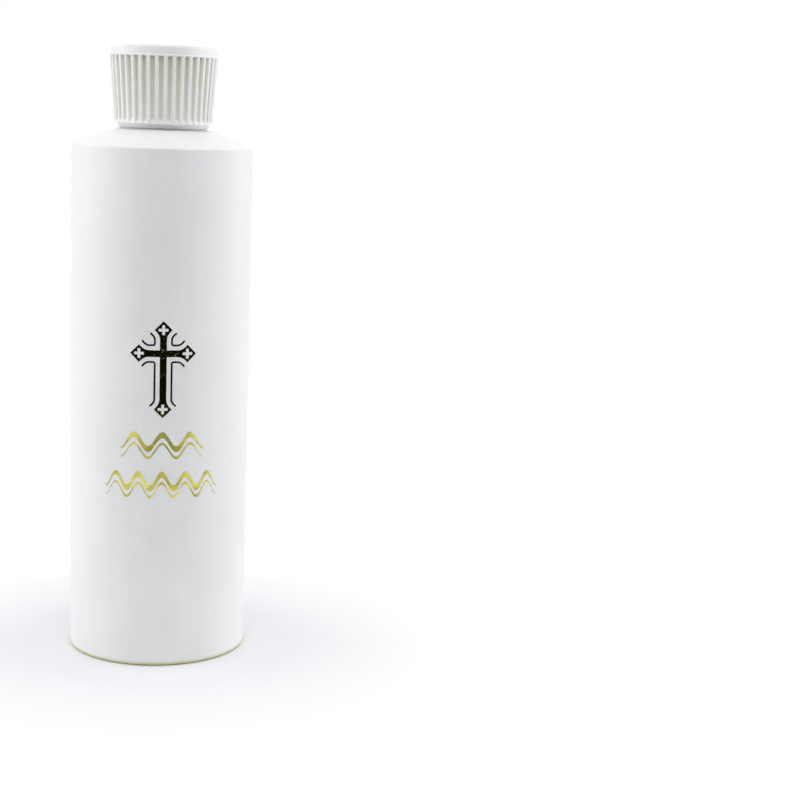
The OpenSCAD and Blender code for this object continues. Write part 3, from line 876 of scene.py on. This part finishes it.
stage = {
    "floorSize": 6, "floorColour": (0.88, 0.885, 0.90, 1), "fadeFrom": 0.04, "fadeTo": 0.08,
    "ambient": 0.945, "ambientColour": (0.975, 0.985, 1, 1), "backdrop": (1, 1, 1, 1),
    "topWatts": 1.0, "topPlace": Vector((0, -0.42, 0.8)), "topSize": 0.5, "aim": Vector((0, 0, 0.09)),
    "sideWatts": 1.3, "sideColour": (0.96, 0.98, 1), "sidePlace": Vector((0.65, 0.05, 0.22)),
    "sideSize": 0.6, "cardWidth": 0.80, "cardHeight": 0.265, "cardRough": 0.9,
    "frontCard": -0.4, "frontColour": (0.012, 0.011, 0.010, 1),
    "backCard": 0.4, "backColour": (0.13, 0.13, 0.13, 1),
    # the apron is a painted shadow of the front card on the floor, seen in the foil
    "apronFrom": -0.27, "apronTo": -0.42, "apronHeight": 1 * mm,
}
view = {
    "place": Vector((-15.3, -500.7, 162.77)) * mm, "yaw": math.radians(9.75),
    "pitch": math.radians(10.06), "roll": math.radians(2.114), "lens": 78.09, "sensor": 36,
}


def emptyTree(owner):
    owner.use_nodes = True
    owner.node_tree.nodes.clear()
    return owner.node_tree


def shaderNode(tree, kind, colour=None):
    node = tree.nodes.new(kind)
    if colour:
        node.inputs["Color"].default_value = colour
    return node


def mixToOutput(tree, factor, first, second, outputKind):
    mix = tree.nodes.new("ShaderNodeMixShader")
    tree.links.new(factor, mix.inputs["Fac"])
    tree.links.new(first.outputs[0], mix.inputs[1])
    tree.links.new(second.outputs[0], mix.inputs[2])
    output = tree.nodes.new(outputKind)
    tree.links.new(mix.outputs["Shader"], output.inputs["Surface"])


def seenDirectly(tree):  # 1 for rays from the camera, mirrors and glass
    path = tree.nodes.new("ShaderNodeLightPath")
    seen = mathNode(tree, "MAXIMUM", path.outputs["Is Camera Ray"], path.outputs["Is Glossy Ray"])
    return mathNode(tree, "MAXIMUM", seen, path.outputs["Is Transmission Ray"])


def stagePlane(name, corners, material):
    bm = bmesh.new()
    bm.faces.new([bm.verts.new(corner) for corner in corners])
    mesh = bpy.data.meshes.new(name)
    bm.to_mesh(mesh)
    bm.free()
    mesh.materials.append(material)
    plane = bpy.data.objects.new(name, mesh)
    bpy.context.scene.collection.objects.link(plane)
    return plane


def makeFloor():  # keeps the shadow near the bottle and fades to white beyond it
    material = bpy.data.materials.new("paleFloor")
    tree = emptyTree(material)
    diffuse = shaderNode(tree, "ShaderNodeBsdfDiffuse", stage["floorColour"])
    white = shaderNode(tree, "ShaderNodeEmission")
    far = remap(tree, vectorLength(tree, objectPoint(tree)), stage["fadeFrom"], stage["fadeTo"], 0, 1)
    factor = mathNode(tree, "MULTIPLY", far, seenDirectly(tree))
    mixToOutput(tree, factor, diffuse, white, "ShaderNodeOutputMaterial")
    half = stage["floorSize"] / 2
    stagePlane("floor", [(-half, -half, 0), (half, -half, 0), (half, half, 0), (-half, half, 0)], material)


def makeCard(name, place, colour):  # shades the side it stands on; the front one also shows in the foil
    material, tree, shader = newMaterial(name)
    shader.inputs["Base Color"].default_value = colour
    shader.inputs["Roughness"].default_value = stage["cardRough"]
    shader.inputs["Specular IOR Level"].default_value = 0
    half, high = stage["cardWidth"] / 2, stage["cardHeight"]
    corners = [(-half, place, 0), (half, place, 0), (half, place, high), (-half, place, high)]
    card = stagePlane(name, corners, material)
    card.visible_camera = False
    return card


def makeCardShadow():  # painted shadow of the front card: a dark strip on the floor before the card, that fades towards the bottle and shows in the foil
    material = bpy.data.materials.new("frontApron")
    tree = emptyTree(material)
    clear = shaderNode(tree, "ShaderNodeBsdfTransparent")
    dark = shaderNode(tree, "ShaderNodeBsdfDiffuse", stage["frontColour"])
    factor = remap(tree, pointAlong(tree, "Y"), stage["apronFrom"], stage["apronTo"], 0, 1)
    mixToOutput(tree, factor, clear, dark, "ShaderNodeOutputMaterial")
    half, up = stage["cardWidth"] / 2, stage["apronHeight"]
    back, front = stage["apronFrom"], stage["frontCard"]
    corners = [(-half, front, up), (half, front, up), (half, back, up), (-half, back, up)]
    stagePlane("frontApron", corners, material).visible_camera = False


def makeWorld():
    world = bpy.data.worlds.new("studio")
    bpy.context.scene.world = world
    tree = emptyTree(world)
    ambient = shaderNode(tree, "ShaderNodeBackground", stage["ambientColour"])
    ambient.inputs["Strength"].default_value = stage["ambient"]
    white = shaderNode(tree, "ShaderNodeBackground", stage["backdrop"])
    mixToOutput(tree, seenDirectly(tree), ambient, white, "ShaderNodeOutputWorld")


def addLamp(name, place, watts, size, colour=(1, 1, 1)):
    lamp = bpy.data.lights.new(name, "AREA")
    lamp.energy = watts
    lamp.color = colour
    lamp.size = size
    obj = bpy.data.objects.new(name, lamp)
    obj.location = place
    obj.rotation_euler = (stage["aim"] - place).to_track_quat("-Z", "Y").to_euler()
    bpy.context.scene.collection.objects.link(obj)


def addCamera():
    camera = bpy.data.cameras.new("camera")
    camera.sensor_width = view["sensor"]
    camera.lens = view["lens"]
    obj = bpy.data.objects.new("camera", camera)
    level = Euler((math.pi / 2 - view["pitch"], 0, -view["yaw"])).to_matrix()
    turn = level @ Matrix.Rotation(view["roll"], 3, "Z")
    obj.matrix_world = Matrix.Translation(view["place"]) @ turn.to_4x4()
    bpy.context.scene.collection.objects.link(obj)
    bpy.context.scene.camera = obj


makeFloor()
makeCard("frontCard", stage["frontCard"], stage["frontColour"])
makeCardShadow()
makeCard("backCard", stage["backCard"], stage["backColour"]).visible_glossy = False
makeWorld()
addLamp("topLamp", stage["topPlace"], stage["topWatts"], stage["topSize"])
for name, side in (("leftLamp", -1), ("rightLamp", 1)):
    place = stage["sidePlace"] * Vector((side, 1, 1))
    addLamp(name, place, stage["sideWatts"], stage["sideSize"], stage["sideColour"])
addCamera()
bpy.context.scene.view_settings.view_transform = "Standard"
print("stage set")
